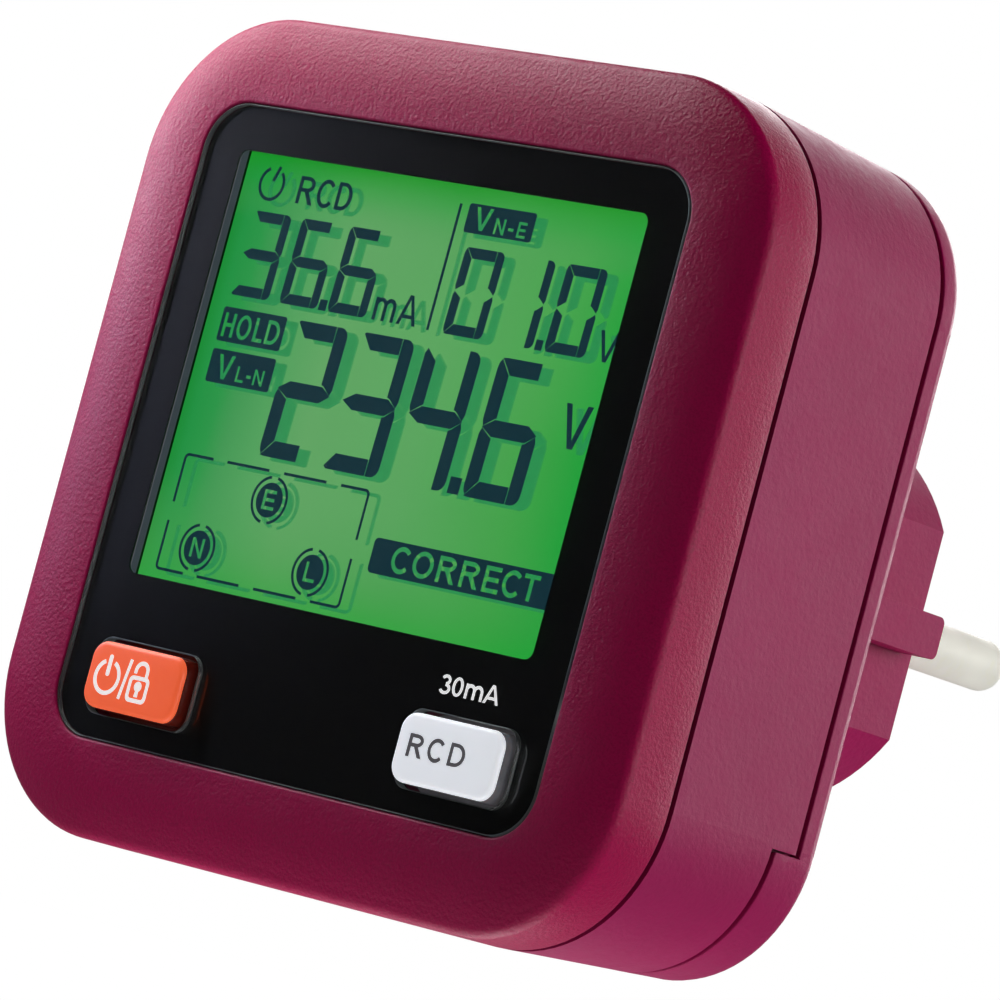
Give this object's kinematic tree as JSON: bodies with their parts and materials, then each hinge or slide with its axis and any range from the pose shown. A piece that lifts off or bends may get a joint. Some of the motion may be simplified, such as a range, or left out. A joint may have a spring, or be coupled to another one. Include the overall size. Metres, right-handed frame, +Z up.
{
  "type": "outlet tester plug",
  "caption": "Plug-in wall outlet tester: square case with rounded corners, lit display and two push keys in front, round earthed plug with pins and guide ribs behind.",
  "frame": {"origin": "centre of the plug's end face, on the axis midway between the pins", "axes": "+X right seen from the display side, +Y into the socket along the pins, +Z up towards the top edge of the display"},
  "size_m": [0.0734, 0.0794, 0.0738],
  "materials": {
    "case_plastic": "fine spark-eroded grain, satin matte",
    "lens_clear": "polished clear acrylic",
    "black_print": "gloss black print behind the lens",
    "lcd_glass": "polished display glass",
    "polarizer": "smooth tinted film",
    "backlight": "lit light guide",
    "led_package": "small moulded packages",
    "conductive_rubber": "layered elastomer",
    "orange_key": "silicone with a printed orange face",
    "grey_key": "silicone with a printed light grey face",
    "carbon": "carbon filled silicone",
    "clear_silicone": "translucent silicone",
    "gold": "thin gold plating",
    "board_green": "solder resist",
    "black_mould": "moulded epoxy",
    "steel": "zinc plated",
    "resistor_coat": "lacquered",
    "relay_case": "plain moulded",
    "varistor_coat": "dipped coating",
    "film_case": "plain moulded",
    "cell_sleeve": "plain printed sleeve",
    "nickel": "nickel plated, satin",
    "holder_plastic": "heat resistant moulding",
    "brass": "knurled insert",
    "red_lead": "PVC sleeve",
    "brown_lead": "PVC sleeve",
    "blue_lead": "PVC sleeve",
    "green_lead": "PVC sleeve"
  },
  "bodies": {
    "case": {"front_bezel": "case_plastic", "display_lens": "lens_clear", "lens_mask_film": "black_print", "lcd_glass": "lcd_glass", "lcd_polarizers": "polarizer", "lcd_backlight": "backlight", "backlight_leds": "led_package", "lcd_frame": "black_mould", "zebra_strip": "conductive_rubber", "power_dome": "clear_silicone", "rcd_dome": "clear_silicone", "keypad_mat": "clear_silicone", "key_contacts": "gold", "main_pcb": "board_green", "mcu_chip": "black_mould", "signal_chips": "black_mould", "crystal": "steel", "board_header": "black_mould", "pcb_screws": "steel", "power_pcb": "board_green", "load_resistors": "resistor_coat", "relay": "relay_case", "fuse": "black_mould", "varistor": "varistor_coat", "film_capacitor": "film_case", "power_pcb_screws": "steel", "mid_housing": "case_plastic", "housing_screws": "steel", "battery_cells": "cell_sleeve", "battery_springs": "nickel", "battery_contacts": "nickel", "battery_leads": "red_lead", "cover_insert": "brass", "left_pin": "nickel", "right_pin": "nickel", "pin_holder": "holder_plastic", "earth_bracket": "nickel", "left_wire": "brown_lead", "right_wire": "blue_lead", "earth_wire": "green_lead"},
    "power_button": {"power_key": "orange_key", "power_pill": "carbon"},
    "rcd_button": {"rcd_key": "grey_key", "rcd_pill": "carbon"},
    "battery_cover": {"rear_cover": "case_plastic", "cover_screw": "steel"}
  },
  "joints": [
    {"name": "power_press", "type": "slide", "parent": "case", "child": "power_button", "axis": [0, 1, 0], "range_m": [0, 0.0009], "stiffness_N_per_m": 900, "springref_m": -0.0003, "deforming": ["power_dome"]},
    {"name": "rcd_press", "type": "slide", "parent": "case", "child": "rcd_button", "axis": [0, 1, 0], "range_m": [0, 0.0009], "stiffness_N_per_m": 900, "springref_m": -0.0003, "deforming": ["rcd_dome"]},
    {"name": "cover_off", "type": "slide", "parent": "case", "child": "battery_cover", "axis": [0, 1, 0], "range_m": [0, 0.06]}
  ]
}
